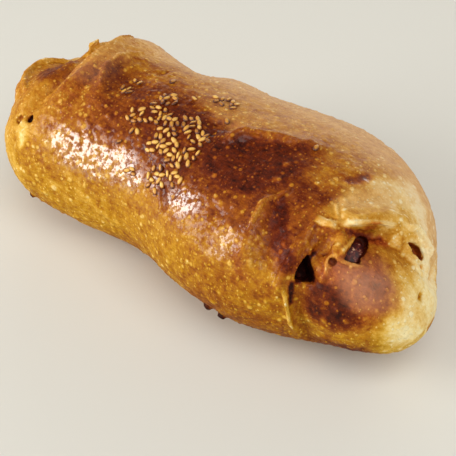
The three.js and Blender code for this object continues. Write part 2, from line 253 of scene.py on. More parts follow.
def relief(points, out):
    """How far the folds lift the crust off the smooth roll."""
    lift = np.zeros(len(points))
    for name, (height, width, _) in RIDGES_AND_GROOVES.items():
        near = close_to(points, fold_paths[name], FOLD_REACH * width)
        distance, _, share = nearest_on(fold_paths[name], points[near], out[near])
        rise = height * fading(share, FOLD_ENDS) * np.exp(-(distance / width) ** 2)
        lift[near] += np.where(distance < FOLD_REACH * width, rise, 0)
    for name, (drop, width, reach, _) in STEPS.items():
        near = close_to(points, fold_paths[name], FOLD_REACH * reach)
        distance, side, share = nearest_on(fold_paths[name], points[near], out[near])
        fall = drop * fading(share, FOLD_ENDS) * ramp(side, 0, width) * np.exp(-(distance / reach) ** 2)
        lift[near] -= np.where((side > 0) & (distance < FOLD_REACH * reach), fall, 0)
    for height, place, along, turn in SWELLS.values():
        lift += height * spot(points, place, along, turn)
    return lift * ramp(points[:, 2], *UNDERSIDE)


def crust_at(along, turn):
    """Points of the baked crust, with its folds, and the directions out of it."""
    points = skin(along, turn).reshape(-1, 3)
    out = outward(along, turn).reshape(-1, 3)
    points = points + out * relief(points, out)[:, None]
    points[:, 2] = np.maximum(0, points[:, 2])
    return points, out


def on_crust(places):
    """Points of the baked crust at a list of places."""
    return crust_at(*np.array(places, float).T)[0]


def vertices_of(piece):
    """A piece's vertices, in mm."""
    flat = np.zeros(3 * len(piece.data.vertices))
    piece.data.vertices.foreach_get("co", flat)
    return flat.reshape(-1, 3) / MM


def set_vertices(piece, points):
    """Moves a piece's vertices to points in mm."""
    piece.data.vertices.foreach_set("co", np.ascontiguousarray(points * MM).ravel())
    piece.data.update()


def new_ball(name, fineness):
    """A ball of radius 1 mm, ready to be shaped, and each vertex's height and turn on it."""
    bpy.ops.object.select_all(action="DESELECT")
    bpy.ops.mesh.primitive_ico_sphere_add(subdivisions=fineness, radius=MM)
    ball = bpy.context.active_object
    ball.name = name
    ball.data.name = name
    points = vertices_of(ball)
    tall = np.arcsin(np.clip(points[:, 2], -1, 1)) / (math.pi / 2)
    return ball, tall, -np.degrees(np.arctan2(points[:, 1], points[:, 0]))


def apply_modifier(piece, kind, **settings):
    """Adds a modifier to a piece, and applies it."""
    bpy.context.view_layer.objects.active = piece
    modifier = piece.modifiers.new(kind.lower(), kind)
    for name, value in settings.items():
        setattr(modifier, name, value)
    bpy.ops.object.modifier_apply(modifier=modifier.name)


# Lips are edges of dough that stand over a fold or a gap: (thickness across, thickness out,
# how proud, how far each leans to the right of its path, how much darker it is painted, path).
# Most are paler: partly the dough's own pale edges, partly a painted highlight along their
# crests. The crumbs are darker because they are burnt.
LIPS = {
    "rim above": (3.2, 2.4, 0.3, 0.4, 0.0, [
        (57.4, 60), (57.3, 50), (57, 40), (56.4, 30), (56, 20), (56, 8)]),
    "rim below": (1.0, 1.2, 0.5, 0.0, -0.24, [
        (54.6, 21), (56.4, 16), (58, 10), (59.2, 2), (60, -6), (61.1, -17)]),
    "pale corner of the rim": (2.2, 0.9, 0.4, 0.2, -0.4, [
        (55.6, 59.3), (58.1, 59.3), (60.5, 60), (63.2, 61.5)]),
    "edge up from the corner": (0.9, 1.0, 0.45, 0.0, -0.2, [
        (57.6, 72), (59.4, 69), (61, 66), (62.9, 63), (64, 60.5)]),
    "brow's ridge": (1.6, 1.6, 0.4, 0.0, -0.26, [
        (61.6, 62.3), (63.7, 64.4), (65.7, 66.8), (67.3, 69.9), (69.5, 75.1), (71.6, 81), (73.4, 86.2),
        (75, 92)]),
    "strip between two gaps": (3.0, 2.6, 0.4, 0.0, -0.06, [
        (64.8, 60), (66.2, 55), (66.4, 50), (65.6, 45)]),
    "strip's edge": (1.1, 1.3, 0.8, 0.0, -0.3, [(68.4, 65), (68.3, 59.3), (68.1, 52), (68.3, 46.6)]),
    "arch on the tongue": (1.0, 1.2, 0.6, 0.0, -0.24, [
        (66.6, 28), (66.6, 34.4), (65.6, 40.8), (66, 44.6), (66.9, 46), (68.8, 45.3), (70.2, 46),
        (72.2, 48), (73.9, 51), (74.6, 54)]),
    "cream lump by the right gap": (3.2, 2.0, 0.4, 0.0, -0.26, [(75.6, 86), (77, 89), (78.6, 93.5)]),
    "lip below the right gap": (1.5, 1.5, 0.5, 0.0, -0.2, [
        (79.6, 91), (81.4, 95.5), (84, 100), (86, 108), (87, 116)]),
    "lip above the right gap": (2.2, 2.2, 0.8, 0.0, -0.2, [
        (76, 97), (77.8, 106), (79.8, 116), (82, 125), (84.4, 129)]),
    "crest": (2.6, 2.2, 0.2, 0.0, -0.1, [
        (13.9, 71), (15, 76.5), (17, 81), (20, 82.8), (24, 84.6), (29, 87.4), (34, 89.6)]),
    "fold beside the front valley": (1.3, 1.3, 0.4, 0.0, -0.16, [
        (44, 67), (42, 61), (40.3, 55.8), (40.2, 50), (40.4, 46), (41, 40)]),
    "far ear": (4.0, 3.4, 0.9, 0.0, -0.08, [(-63.6, 92.4), (-62.6, 96.4), (-62.4, 101)]),
    "far fold": (3.2, 2.4, 0.1, 0.0, -0.06, [
        (-41.5, 70), (-42.7, 75), (-44.6, 80), (-45, 86), (-44.8, 92), (-43.6, 100), (-44, 108)]),
    "edge over the far seam": (2.4, 2.2, 0.5, -0.4, -0.06, [
        (-57, 118), (-55, 106), (-54, 92), (-54.5, 78), (-57.5, 62), (-60.5, 48)]),
    "rim of the far dish": (2.4, 2.2, 0.3, 0.0, -0.08, [
        (-70, 50), (-76, 58), (-79, 70), (-78.5, 82), (-74, 96)]),
    "crumb at the base": (2.6, 2.2, 0.3, 0.0, 0.5, [(25.4, -30), (27, -31), (28.6, -31)]),
    "crumb beside it": (2.2, 2.0, 0.6, 0.0, 0.6, [(31.5, -32), (33, -33), (34.2, -32)]),
    "crumb at the far end": (2.0, 1.8, 0.3, 0.0, 0.4, [(-61, -28), (-60, -29), (-59, -28)]),
}
LIP_STEPS = 60
lips, lip_lines = [], {}
for name, (across, thick, proud, lean, _, places) in LIPS.items():
    lip, tall, turn = new_ball(name, 5)
    path = smooth_path(on_crust(places), LIP_STEPS)
    out = outward(*place_of(path))
    aside = unit(np.cross(np.gradient(path, axis=0), out))
    lip_lines[name] = path + out * proud + aside * lean
    share = np.clip((np.sin(math.pi / 2 * tall) + 1) / 2, 0, 1)
    even = np.linspace(0, 1, LIP_STEPS + 1)
    middle, out, aside = (np.stack([np.interp(share, even, column) for column in part.T], -1)
                          for part in (lip_lines[name], out, aside))
    size = np.sqrt(np.maximum(0, 1 - (2 * share - 1) ** 4))[:, None]
    round_x, round_y = np.cos(np.radians(turn))[:, None], np.sin(np.radians(turn))[:, None]
    set_vertices(lip, middle + size * (out * thick / 2 * round_y + aside * across / 2 * round_x))
    lips.append(lip)

# The gaps between rim and tongue, cut inwards to the sausage, under the sheet that lies over them:
# (depth, size at the bottom, how far the bottom lies aside along and up the roll, outline).
GAPS = {
    "left": (8, 0.9, (-5, -1), [
        (59.6, 40.6), (60.8, 38.8), (63.7, 32.8), (65.6, 24.8), (61.5, 21.5), (59, 22.8), (58.4, 31)]),
    "middle": (6, 0.9, (-1, 2.5), [
        (68.9, 59.3), (69.2, 65.5), (71.1, 69), (72.8, 67.7), (73.4, 62.1), (73.2, 55.6), (73.6, 51.6),
        (72.1, 48.8), (68.9, 46.4), (68.8, 52)]),
    "right": (3, 0.8, (-1, 1), [
        (78.5, 95), (79.9, 104), (82, 115.5), (84.9, 119), (84.2, 108), (83.2, 103), (80.9, 98)]),
    "far spot": (2.4, 0.8, (0, 0), [
        (-61.8, 34), (-60.4, 37.6), (-57.8, 36.6), (-57.2, 33), (-59, 30.6), (-61.2, 31)]),
}
GAP_RISE = 6
GAP_SIDES = 48
cutters = []
for name, (deep, taper, aside, outline) in GAPS.items():
    bpy.ops.object.select_all(action="DESELECT")
    bpy.ops.mesh.primitive_cylinder_add(
        vertices=GAP_SIDES, radius=MM, depth=2 * MM, end_fill_type="TRIFAN")
    cutter = bpy.context.active_object
    cutter.name = name
    corners = on_crust(outline)
    centre = corners.mean(0)
    out = outward(*np.mean(outline, axis=0))
    loop = smooth_path(np.r_[corners, corners[:1]], GAP_SIDES)[:-1]
    right = unit(np.cross((0, 0, 1), out))
    flat = (loop - centre) - ((loop - centre) @ out)[:, None] * out
    bearings = np.arctan2(flat @ np.cross(out, right), flat @ right)
    if np.sum(np.diff(np.unwrap(bearings))) < 0:
        flat, bearings = flat[::-1], bearings[::-1]
    flat = np.roll(flat, -np.argmin(np.abs(bearings)), axis=0)
    points = vertices_of(cutter)
    radius = np.linalg.norm(points[:, :2], axis=1)
    share = np.arctan2(points[:, 1], points[:, 0]) / (2 * math.pi)
    index = np.round(share * GAP_SIDES).astype(int) % GAP_SIDES
    low = points[:, 2:] < 0
    size = np.where(low, taper, 1) * radius[:, None]
    height = np.where(low, -deep, GAP_RISE)
    lean = aside[0] * np.array([1, 0, 0]) + aside[1] * unit(np.cross(out, (1, 0, 0)))
    set_vertices(cutter, centre + flat[index] * size + out * height - lean * height / deep)
    cutters.append(cutter)

# The ball that becomes the crust has more of its vertices at the near end and on top.
FINER_NEAR, FINER_ON_TOP, TOP_TURN = 0.22, 0.35, 75
crust, tall, turn = new_ball("crust", 8)
along = LENGTH / 2 * np.sin(math.pi / 2 * (tall + FINER_NEAR * (1 - tall ** 2)))
turn = turn - math.degrees(FINER_ON_TOP) * np.sin(np.radians(turn - TOP_TURN))
set_vertices(crust, crust_at(along, turn)[0])
for cutter in cutters:
    apply_modifier(crust, "BOOLEAN", object=cutter, operation="DIFFERENCE", solver="MANIFOLD")
for cutter in cutters:
    bpy.data.meshes.remove(cutter.data)
bpy.ops.object.select_all(action="DESELECT")
for piece in [crust] + lips:
    piece.select_set(True)
bpy.context.view_layer.objects.active = crust
bpy.ops.object.join()

# The dough bakes into one skin: a fine even mesh, softened, then blistered by the oven's heat.
SKIN_CELL = 0.52
apply_modifier(crust, "REMESH", mode="VOXEL", voxel_size=SKIN_CELL * MM)
apply_modifier(crust, "SMOOTH", factor=0.5, iterations=2)


def normals_of(piece):
    """The direction out of a piece at each of its vertices."""
    flat = np.zeros(3 * len(piece.data.vertices))
    piece.data.vertex_normals.foreach_get("vector", flat)
    return flat.reshape(-1, 3)


def wavering(points, size, seed=0.0):
    """Smooth noise over points, from -1 to 1, with waves of about a size in mm."""
    return np.array([noise.noise(Vector(p)) for p in points / size + seed])


# A blister's place gives it a chance between 0 and 1, which sets its size. The lowest are left out.
CHANCES = (91.7, 47.3, 73.1)
SMALLEST = 0.4
LEFT_OUT = 0.35


def blisters(points, apart, size, seed):
    """Small round domes about a spacing apart: how high each point is in one, from 0 to 1."""
    found = np.zeros(len(points))
    for i, p in enumerate(points / apart + seed):
        distance, centres = noise.voronoi(Vector(p))
        chance = sum(c * k for c, k in zip(centres[0], CHANCES)) % 1
        reach = size / apart * (SMALLEST + (1 - SMALLEST) * chance)
        if chance > LEFT_OUT and distance[0] < reach:
            found[i] = 1 - (distance[0] / reach) ** 2
    return found


# Creases and dents that are too fine for the dough's own folds: (height, width, how much darker,
# path). The darkening is painted shade in each hollow. The burnt crease is darker for its burn, and
# the line along the low front is painted paler.
CREASES = {
    "hollow of the brow": (-0.8, 0.8, 0.1, [
        (65.4, 62.8), (67.4, 65.6), (69.4, 69), (71.6, 74.6), (73.4, 81)]),
    "fold above the brow's ridge": (-0.45, 0.8, 0.08, [
        (62, 69), (63.4, 71.4), (65.2, 75), (67.2, 81), (68.8, 89), (69.6, 97)]),
    "notch under the arch": (-1.4, 0.7, 0.36, [(65.7, 42), (66.7, 42.4), (67.9, 41.1)]),
    "pit beside it": (-0.8, 0.6, 0.3, [(63.3, 45.6), (63.8, 44.4), (64.2, 43)]),
    "seam under the rim": (-0.5, 0.5, 0.5, [(59, 22.6), (59.2, 17), (59.6, 11), (60, 3)]),
    "dimple in the knob": (-1.0, 0.8, 0.5, [(89.5, 87), (90, 90), (90.4, 93)]),
    "notch behind the far ear": (-1.3, 2.6, 0.0, [(-65, 82), (-63.6, 87), (-63, 91)]),
    "groove in the far fold": (-0.8, 1.3, 0.08, [(-42.4, 80), (-42.8, 87), (-41.2, 93), (-38.6, 101)]),
    "wrinkle by the far spot": (-0.5, 0.7, 0.08, [(-58.1, 23), (-56.4, 19), (-56.4, 14)]),
    "wrinkle below it": (-0.5, 0.7, 0.08, [(-60.5, 10), (-61.3, 3), (-59.3, -1)]),
    "slit at the far end": (-1.4, 0.8, 0.6, [(-65.8, 27), (-65.2, 30), (-65, 34)]),
    "line along the low front": (0.4, 0.8, -0.08, [(-34.3, 2), (-28.3, -2), (-21.2, -7), (-13.9, -12)]),
    "crease of the front": (-0.6, 0.8, 0.08, [(3.4, 35), (4, 32), (5.5, 27), (8.2, 21)]),
    "dents behind the fold": (-0.7, 0.7, 0.2, [(-29, 92), (-28.6, 96), (-28.3, 101)]),
    "dent on the back": (-0.7, 0.7, 0.2, [(-24, 121), (-22, 124), (-20, 126)]),
    "dent beside the seeds": (-0.6, 0.7, 0.16, [(5, 77.5), (6, 79.5), (7.3, 81.5)]),
    "second dent beside them": (-0.6, 0.6, 0.16, [(7.5, 70), (7.8, 72.5), (8.2, 75)]),
    "burnt crease": (-0.3, 1.0, 0.14, [(54, 84), (56.4, 88), (58.1, 93), (59.4, 98)]),
}
# A crease fades out over a share of its path at both ends, and is felt some widths away. Its floor
# is flat for a short way, in mm, to each side of the path.
CREASE_ENDS = 0.2
CREASE_REACH = 4
CREASE_FLOOR = 0.4
# Where the crust has settled, how deep, and how far to each side.
SETTLED, SETTLED_DEPTH, SETTLED_WIDTH = [(-60, 100), (-50, 108), (-42, 112)], 1.1, 9
# The crust's waviness: (height, size of the waves in mm, where the noise starts).
WAVINESS = [(0.35, 13, 0), (0.22, 5, 40), (0.24, 2.3, 80), (0.14, 1.3, 120)]
# The small blisters: how far apart, radius, where the noise starts; and how high each kind stands.
BLISTERS = (3.0, 1.05, 7.0)
BLISTER_HEIGHT, LARGE_BLISTER_HEIGHT = 0.26, 0.4
# All of this grows from nothing to its full size between two heights above the flat underside.
DETAIL_FROM = (3, 12)
# The largest blisters, one by one: (place, radius in mm).
LARGE_BLISTERS = [((38, 67), 1.9), ((37, 76), 1.7), ((-44, -2), 1.7), ((-49, -10), 1.4), ((66.4, 29), 1.5),
                  ((70, 1), 1.4), ((27, 44), 1.3), ((45, 24), 1.2), ((12, -4), 1.3), ((-20, -12), 1.2),
                  ((-30, 8), 1.1), ((33, -12), 1.3), ((73, 14), 1.0), ((76, 8), 1.1), ((52, 40), 1.1)]


def large_blisters(points):
    """How high each point is in one of the largest blisters, from 0 to 1."""
    found = np.zeros(len(points))
    for place, radius in LARGE_BLISTERS:
        distance = np.linalg.norm(points - on_crust([place]), axis=1)
        found = np.maximum(found, 1 - np.minimum(1, distance / radius) ** 2)
    return found


crease_lines = {name: smooth_path(on_crust(crease[-1])) for name, crease in CREASES.items()}


def in_crease(name, points, out):
    """Which points a crease marks, and how deep in it each is, from 0 to 1."""
    width = CREASES[name][1]
    near = close_to(points, crease_lines[name], CREASE_REACH * width)
    distance, _, share = nearest_on(crease_lines[name], points[near], out[near])
    depth = np.exp(-(np.maximum(0, distance - CREASE_FLOOR) / width) ** 2)
    return near, fading(share, CREASE_ENDS) * depth


points = vertices_of(crust)
out = normals_of(crust)
lift = sum(height * wavering(points, size, seed) for height, size, seed in WAVINESS)
distance = nearest_on(smooth_path(on_crust(SETTLED)), points, out)[0]
lift -= SETTLED_DEPTH * np.exp(-(distance / SETTLED_WIDTH) ** 2)
lift += LARGE_BLISTER_HEIGHT * large_blisters(points)
for name in CREASES:
    near, depth = in_crease(name, points, out)
    lift[near] += CREASES[name][0] * depth
lift += BLISTER_HEIGHT * blisters(points, *BLISTERS)
points = points + out * (lift * ramp(points[:, 2], *DETAIL_FROM))[:, None]
points[:, 2] = np.maximum(0, points[:, 2])
set_vertices(crust, points)
MOST_TRIANGLES = 198000
triangles = sum(len(face.vertices) - 2 for face in crust.data.polygons)
if triangles > MOST_TRIANGLES:
    apply_modifier(crust, "DECIMATE", ratio=MOST_TRIANGLES / triangles, use_collapse_triangulate=True)
crust.data.shade_smooth()

BROW_SIDE = [(69, 101), (74, 97), (80, 103), (83, 110), (80, 115), (73, 114)]
# How brown the crust is round the roll, every 20 degrees from the front's middle, and each
# painted area: (more browning, more redness, softness in mm, outline of places). Most areas are
# the crust's own colour. A few paint shade into it, as marked.
BROWN_ROUND = [0.48, 0.51, 0.55, 0.60, 0.60, 0.48, 0.36, 0.35, 0.38, 0.42, 0.44, 0.46, 0.48, 0.48, 0.50,
               0.54, 0.56, 0.54, 0.48]
RED_ROUND = [0.12, 0.26, 0.42, 0.50, 0.45, 0.40, 0.45, 0.45, 0.45, 0.45, 0.45, 0.50, 0.50, 0.40, 0.30,
             0.20, 0.10, 0.05, 0.12]
PAINTED = {
    "egg wash": (0.10, 0.0, 4, [
        (-52, 30), (-53, 62), (-46, 86), (-30, 84), (-18, 88), (-5, 82), (8, 78), (14, 75), (17, 80.5),
        (24, 84.6), (31, 88), (38, 92), (48, 97), (58, 99), (61, 90), (57, 75), (56, 62), (58, 45),
        (57, 20), (50, 28), (40, 34), (28, 36), (12, 28), (0, 26), (-15, 34), (-30, 38), (-42, 34)]),
    "dark saddle": (0.11, 0.1, 2, [
        (12, 66), (14.4, 74), (17, 80.4), (20, 82.2), (24, 84), (29, 86.6), (36, 90), (44, 88), (42, 75),
        (38, 62), (33, 54), (22, 52), (13, 56)]),
    "slope above the crest": (-0.07, 0.0, 2.5, [
        (2, 85), (8, 80), (13, 79), (16, 84), (22, 88), (30, 92), (20, 96), (4, 94)]),
    # Darker and redder by the front valley: partly the crust's own deeper colour, partly painted shade in
    # the valley.
    "dark band": (0.15, 0.35, 1.5, [
        (43.4, 62.8), (46.2, 56.5), (49.4, 49.5), (54, 41), (58.6, 33), (57.7, 25), (52.5, 28.8),
        (48.5, 33.4), (45.3, 42.5), (43.4, 50.2), (42.5, 59.3)]),
    "under the seeds": (0.08, 0.0, 4, [
        (-18, 50), (-14, 76), (4, 78), (12, 66), (10, 42), (5, 26), (0, 32), (-8, 44)]),
    "far front": (-0.11, 0.0, 6, [(-60, 20), (-62, 60), (-46, 70), (-34, 62), (-38, 40), (-48, 24)]),
    "far top": (-0.13, 0.1, 5, [(-56, 62), (-58, 100), (-50, 130), (-36, 125), (-40, 100), (-46, 84)]),
    "far hump": (0.06, 0.0, 5, [(-56, 96), (-40, 96), (-22, 104), (-24, 140), (-60, 150)]),
    "far end": (-0.11, -0.05, 4, [
        (-60, -40), (-59, 10), (-62, 40), (-61, 62), (-59, 90), (-66, 140), (-94, 150), (-98, 60),
        (-94, -60)]),
    # Painted shade in the dish of the far end's fold.
    "far dish": (0.22, -0.1, 2.5, [
        (-72, 64), (-74, 76), (-71, 90), (-64, 85), (-62, 72), (-63.5, 61), (-67, 58)]),
    # Painted shade in the groove behind the far fold.
    "far lens": (0.07, 0.0, 1.4, [(-43, 82), (-43.6, 90), (-42, 98), (-38.6, 102), (-38, 94), (-40, 85)]),
    "far cream": (-0.22, -0.2, 2, [(-63, 20), (-62, 30), (-58, 32), (-57, 22), (-60, 14)]),
    "amber right": (-0.17, 0.0, 3, [(40, 84), (46, 95), (56, 97), (58, 90), (56, 78), (48, 74)]),
    "burnt patch": (0.16, 0.3, 1.4, [
        (54, 84), (56.4, 90), (58.8, 98), (60.6, 97), (59.4, 90), (56.6, 85)]),
    "brow": (-0.30, -0.1, 3, [
        (57, 64), (58, 88), (62, 104), (68, 122), (76, 130), (88, 126), (86, 106), (77, 92), (72, 80),
        (67, 66)]),
    "near end's back": (-0.14, 0.0, 12, [
        (66, 118), (70, 140), (78, 185), (104, 185), (104, 110), (84, 112)]),
    "tongue": (0.06, 0.5, 4, [
        (62, -2), (62, 22), (67, 46), (73, 50), (76, 60), (83, 60), (84, 40), (83, 14), (78, -2)]),
    "tongue's dark side": (0.28, -0.4, 4, [
        (64, 27), (70, 28), (75, 26), (79, 15), (78, 2), (73, -3), (66, 0), (62, 12)]),
    # Painted shade under the brow's overhang. The recess below is also redder, partly for the dough's own
    # orange.
    "brow's underside": (0.22, 0.3, 0.8, [
        (64.6, 63), (66.6, 65.6), (68.4, 69), (70.6, 74.6), (72.2, 79.6), (73.2, 79), (71.9, 73.8),
        (69.8, 67.8), (67.8, 64.4), (65.6, 62)]),
    "recess under the brow": (0.05, 0.8, 1.5, [
        (66.8, 64.6), (69.2, 68.4), (71.4, 74.2), (73, 80), (75.4, 81), (74.6, 75), (72, 70.4),
        (69.4, 66)]),
    "above the tongue": (-0.14, 0.0, 2.5, [
        (76, 66), (78, 84), (82, 98), (86, 112), (86, 90), (84, 68), (80, 62)]),
    "knob": (-0.48, -0.3, 4, [
        (84, -95), (83.7, -18), (86.4, -6.5), (87.2, 15), (86.2, 33), (86.2, 51), (85.1, 66), (85.1, 89),
        (86, 105), (87, 130), (90, 170), (98, 170), (98, -95)]),
    "golden side of the brow": (0.12, 0.0, 3, BROW_SIDE),
    "pale rim of the knob": (-0.12, 0.0, 2, [(83, 119), (85, 118), (89, 124), (90, 134), (86, 134)]),
    "golden underside": (0.18, 0.0, 5, [
        (66, -70), (68, -22), (78, -19), (87, -12), (93, -6), (100, -10), (100, -70)]),
    "furrow of the front": (0.13, 0.1, 2, [
        (39, 30), (41.4, 31), (44, 20), (45.4, 12), (42.5, 12), (40.5, 20)]),
    "front valley": (-0.06, 0.1, 2, [(40, 10), (41, 40), (40, 60), (43, 60), (45, 42), (45, 10)]),
    "near low front": (0.08, 0.0, 6, [(20, -40), (24, 6), (40, 14), (58, 10), (60, -30), (50, -50)]),
    "far low front": (-0.06, 0.0, 6, [(-58, -40), (-50, 0), (-34, 6), (-20, -10), (-30, -40)]),
}
# How the egg wash shines, from dull at 0 to wet at 1: (shine, softness in mm, outline of places).
DULL = 0.03
SHINE = {
    "washed top": (0.13, 5, [
        (-50, 10), (-54, 40), (-50, 84), (-30, 84), (-5, 82), (13, 78), (28, 89), (46, 96), (60, 98),
        (58, 60), (58, 20), (40, 14), (20, 16), (0, 8), (-25, 4)]),
    "wet shoulder": (0.8, 2, [
        (-48, 24), (-45, 36), (-34, 40), (-24, 36), (-15, 38), (-10, 33), (-7, 26), (-12, 16), (-24, 14),
        (-38, 15)]),
    "wet front": (0.75, 2, [(7, 28), (10, 36), (14, 41), (20, 40), (20, 34), (15, 27)]),
    "wet gap among the seeds": (0.5, 1.5, [(-4, 34), (0, 36), (3, 33), (0, 28), (-4, 29)]),
    "wet fold": (0.3, 2, [(30, 18), (31, 34), (37, 38), (38, 22)]),
    "burnt patch": (0.5, 1.2, [(55, 86), (57, 91), (59.4, 98), (60, 94), (57, 86)]),
    "dry valley": (-0.13, 2, [
        (43, 66), (47, 62), (52, 50), (58, 40), (58, 22), (50, 24), (44, 40), (41, 54)]),
}
# Where a pale sheen is painted into the crust, for the room's light that its dull surface
# catches: (how much, softness in mm, outline of places).
PAINTED_SHEEN = {
    "back": (0.42, 11, [
        (-70, 124), (-40, 119), (-20, 108), (10, 104), (30, 104), (60, 106), (82, 128), (80, 162),
        (0, 168), (-70, 162)]),
    "tongue": (0.25, 6, [
        (69.4, 42), (75.7, 53.7), (80.6, 65), (84, 66), (85.3, 56), (83.5, 38), (79.3, 25.7),
        (75.4, 27.6), (71.7, 32.8)]),
    "far hump": (0.1, 4, [(-58, 66), (-47, 68), (-42, 76), (-45, 98), (-57, 104)]),
    "slope above the crest": (0.12, 3, [
        (-18, 94), (-10, 89.6), (-4.5, 87), (2.4, 83.4), (8.4, 79), (13, 78.4), (16.4, 83), (22, 87),
        (30, 91), (36, 96), (16, 100), (-10, 100)]),
    "above the brow": (0.28, 4, [(58, 72), (60, 90), (68, 106), (72, 96), (68, 82), (62, 72)]),
    "golden side of the brow": (-0.3, 3, BROW_SIDE),
}
# How dark each gap is painted inside, and how red: painted shade for the hollow under the sheet.
# A point near a gap is inside it where it has sunk this many mm under the crust: less within the
# softened outline, which leans as the wall does, and more beside it.
GAP_SHADE = {"left": 1.0, "middle": 0.84, "right": 0.68, "far spot": 1.0}
GAP_SHADE_REDNESS = 0.9
GAP_NEAR, GAP_SOFTNESS, WITHIN = 8, 5, (0.1, 0.4)
SUNK_WITHIN, SUNK_BESIDE = (0.5, 1.4), (3.6, 5)
# A lip's painted colour ends between two distances from its path, in shares of its thickness.
LIP_COLOUR_ENDS = (0.45, 0.9)
# How much more the largest blisters are paled than the small ones.
LARGE_DOMES = 1.4
# Painted edges wander by this share of their softness, and at most this far, in mm.
WAVY, MOST_WAVY, EDGE_WAVE_SIZE = 0.7, 2.4, 6
OUTLINE_STEPS = 60
BODY_RADIUS = 38


def coverage(along, turn, outline, softness, waves=None):
    """How far each place on the crust lies within a wavy outline, from 0 outside to 1 inside."""
    scale = np.array([1, BODY_RADIUS * math.radians(1)])
    here = np.stack([along, turn], -1) * scale
    if waves is not None:
        here = here + min(MOST_WAVY, WAVY * softness) * waves
    corners = smooth_path(outline + outline[:1], OUTLINE_STEPS)[:-1] * scale
    inside = np.zeros(len(here), bool)
    distance = np.full(len(here), 1e9)
    for start, end in zip(corners, np.roll(corners, -1, axis=0)):
        stretch, offset = end - start, here - start
        f = np.clip(offset @ stretch / (stretch @ stretch), 0, 1)
        distance = np.minimum(distance, np.linalg.norm(offset - f[:, None] * stretch, axis=1))
        level = (start[1] > here[:, 1]) != (end[1] > here[:, 1])
        inside ^= level & (offset[:, 0] < offset[:, 1] / (stretch[1] + 1e-9) * stretch[0])
    return ramp(np.where(inside, distance, -distance), -softness, softness)


def save_shade(piece, name, values):
    """Keeps a value for each vertex, which the material reads by its name."""
    attribute = piece.data.attributes.new(name, "FLOAT", "POINT")
    attribute.data.foreach_set("value", np.ascontiguousarray(values, dtype=np.float32))


points = vertices_of(crust)
along, turn = place_of(points)
browning_and_shade = through(BROWN_ROUND, (turn % 360) / 360)
redness = through(RED_ROUND, (turn % 360) / 360)
waves = np.stack([wavering(points, EDGE_WAVE_SIZE, seed) for seed in (11, 23)], -1)
for darker, redder, softness, outline in PAINTED.values():
    cover = coverage(along, turn, outline, softness, waves)
    browning_and_shade += darker * cover
    redness += redder * cover
shine = np.full(len(points), DULL)
for wetter, softness, outline in SHINE.values():
    shine += wetter * coverage(along, turn, outline, softness, waves)
# The painted sheen, which pales the crust where it would catch the room's light.
painted_sheen = np.zeros(len(points))
for paler, softness, outline in PAINTED_SHEEN.values():
    painted_sheen += paler * coverage(along, turn, outline, softness, waves)
out = normals_of(crust)
# Lips are painted paler, partly for their own pale dough and partly as a painted highlight.
for name, (across, _, _, _, painted_darkening, _) in LIPS.items():
    near = close_to(points, lip_lines[name], 2 * across)
    distance, _, share = nearest_on(lip_lines[name], points[near], out[near])
    on_lip = 1 - ramp(distance / across, *LIP_COLOUR_ENDS)
    browning_and_shade[near] += painted_darkening * fading(share, CREASE_ENDS) * on_lip
# Creases are darkened with painted shade.
for name, (_, _, painted_darkening, _) in CREASES.items():
    near, depth = in_crease(name, points, out)
    browning_and_shade[near] += painted_darkening * depth
# The insides of the gaps are darkened with painted shade.
for name, (deep, _, aside, outline) in GAPS.items():
    centre = on_crust(outline).mean(0)
    near = np.where(np.linalg.norm(points - centre, axis=1) < deep + GAP_NEAR)[0]
    surface, out = crust_at(along[near], turn[near])
    sunk = ((surface - points[near]) * out).sum(1)
    leaning = aside[0] * np.clip(sunk / deep, 0, 1)
    within = ramp(coverage(along[near] - leaning, turn[near], outline, GAP_SOFTNESS), *WITHIN)
    inside = ramp(sunk, *SUNK_WITHIN) * np.maximum(within, ramp(sunk, *SUNK_BESIDE))
    browning_and_shade[near] += (GAP_SHADE[name] - browning_and_shade[near]) * inside
    redness[near] += (GAP_SHADE_REDNESS - redness[near]) * inside
    painted_sheen[near] *= 1 - inside
# This holds the crust's baking colour together with its painted shade.
save_shade(crust, "browning_and_shade", np.clip(browning_and_shade, 0, 1))
save_shade(crust, "redness", np.clip(redness, 0, 1))
save_shade(crust, "shine", shine)
save_shade(crust, "painted_sheen", painted_sheen)
save_shade(crust, "dome", blisters(points, *BLISTERS) + LARGE_DOMES * large_blisters(points))


def paint(red, green, blue):
    """A colour as a painter reads it, 0 to 255, in Blender's own scale."""
    shades = [value / 255 for value in (red, green, blue)]
    return [v / 12.92 if v < 0.04045 else ((v + 0.055) / 1.055) ** 2.4 for v in shades] + [1.0]


def new_material(name, **sockets):
    """A Principled material, with the values that are the same all over set on its sockets."""
    material = bpy.data.materials.new(name)
    material.use_nodes = True
    shader = material.node_tree.nodes["Principled BSDF"]
    for socket, value in sockets.items():
        shader.inputs[socket.replace("_", " ")].default_value = value
    return material, material.node_tree.nodes, material.node_tree.links, shader


def worked_out(nodes, links, operation, first, second, third=None):
    """A number worked out from others, each a value or another node's output."""
    step = nodes.new("ShaderNodeMath")
    step.operation = operation
    for socket, value in zip(step.inputs, (first, second, third)):
        if isinstance(value, (int, float)):
            socket.default_value = value
        elif value is not None:
            links.new(value, socket)
    return step.outputs[0]


